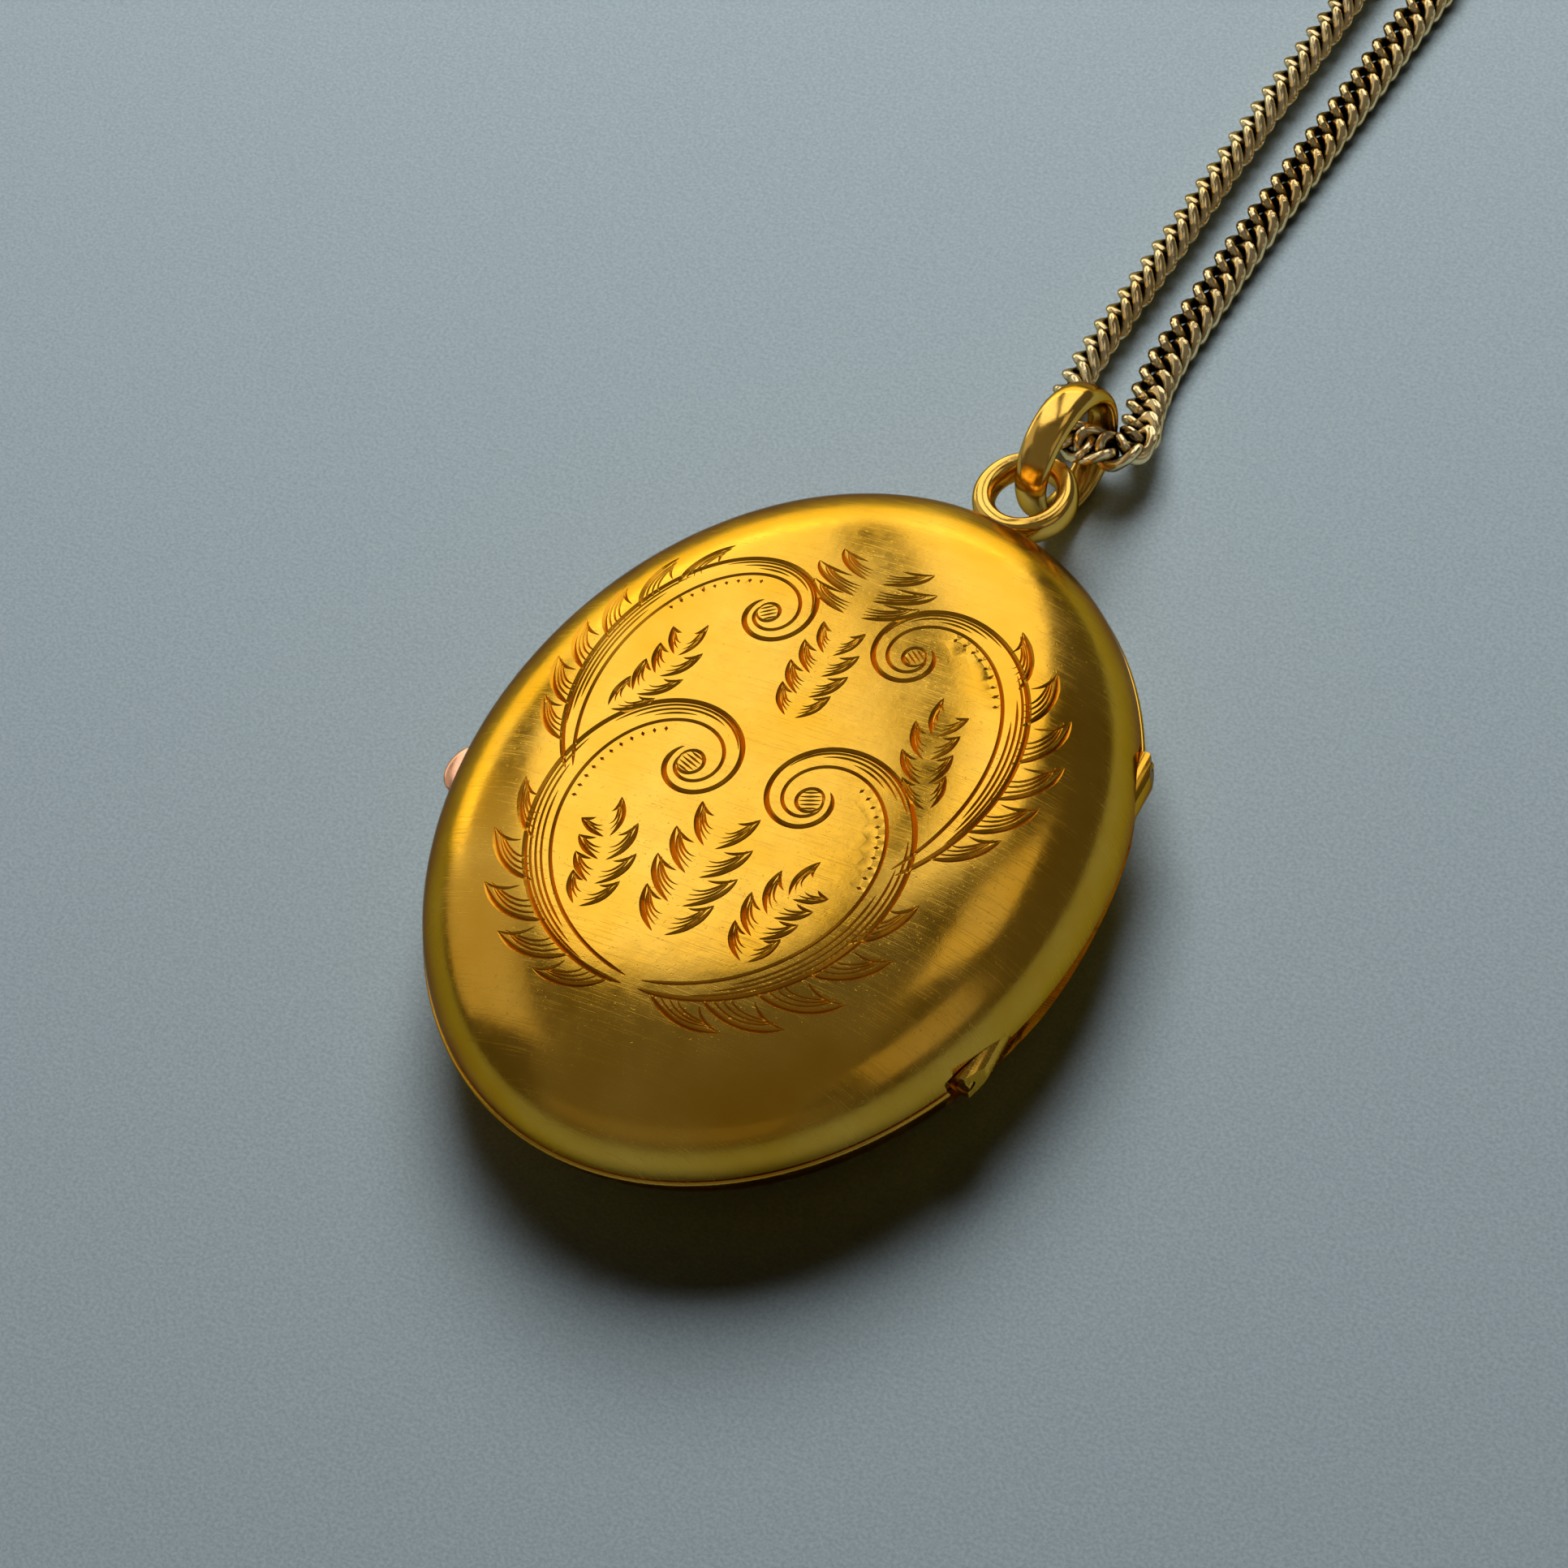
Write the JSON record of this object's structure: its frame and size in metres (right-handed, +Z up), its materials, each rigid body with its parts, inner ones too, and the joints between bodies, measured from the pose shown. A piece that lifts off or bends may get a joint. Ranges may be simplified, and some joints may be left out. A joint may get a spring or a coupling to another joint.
{
  "type": "locket",
  "caption": "Oval hinged locket with a domed scroll-engraved front, framed photo spaces, a hanging ring, a bail, and a curb chain with a bolt ring clasp.",
  "frame": {"origin": "centre of the small flat on the back cover, where the locket rests", "axes": "+Y along the oval's long axis towards the hanging ring, +X towards the hinge, +Z up through the engraved front"},
  "size_m": [0.0376, 0.1024, 0.0096],
  "materials": {
    "case_gold": "polished, worn, fine scratches",
    "rose_gold": "polished, worn",
    "chain_gold": "polished, tarnished in the recesses",
    "spring_steel": "drawn wire",
    "window": "clear, lightly scratched",
    "paper": "blank aged photographic paper",
    "card": "matt pressed card"
  },
  "bodies": {
    "root": {"back_cover": "case_gold", "back_pan": "case_gold", "back_backing_card": "card", "back_photo_paper": "paper", "back_window": "window", "back_picture_frame": "case_gold", "back_hinge_bearer": "case_gold", "hinge_knuckle_1": "case_gold", "hinge_knuckle_3": "case_gold", "hinge_knuckle_5": "case_gold", "hinge_pin": "case_gold", "ring_foot": "case_gold", "hanging_ring": "case_gold", "chain_left_strand": "chain_gold", "chain_left_coil": "chain_gold", "chain_right_strand": "chain_gold", "chain_right_coil": "chain_gold", "clasp_body": "chain_gold", "clasp_spring": "spring_steel", "clasp_collar": "chain_gold", "clasp_end_ring": "chain_gold"},
    "front": {"front_cover": "case_gold", "front_pan": "case_gold", "front_backing_card": "card", "front_photo_paper": "paper", "front_window": "window", "front_picture_frame": "case_gold", "front_hinge_bearer": "case_gold", "hinge_knuckle_2": "case_gold", "hinge_knuckle_4": "case_gold", "thumb_piece": "rose_gold"},
    "bail": {"bail": "case_gold", "chain_left_eye": "chain_gold", "chain_right_eye": "chain_gold"},
    "clasp_bolt": {"clasp_bolt": "chain_gold"}
  },
  "joints": [
    {"name": "cover_hinge", "type": "hinge", "parent": "root", "child": "front", "pos_m": [0.0136, 0, 0.0044], "axis": [0, 1, 0], "range_deg": [0, 110]},
    {"name": "bail_swing", "type": "hinge", "parent": "root", "child": "bail", "pos_m": [0.00167, 0.02319, 0.00378], "axis": [0.9934, -0.1149, 0], "range_deg": [-75, 120]},
    {"name": "clasp_bolt_slide", "type": "hinge", "parent": "root", "child": "clasp_bolt", "pos_m": [-0.01005, 0.0715, 0], "axis": [0, 0, 1], "range_deg": [0, 50], "stiffness_Nm_per_rad": 0.001, "springref_deg": -22.92, "deforming": ["clasp_spring"]}
  ]
}
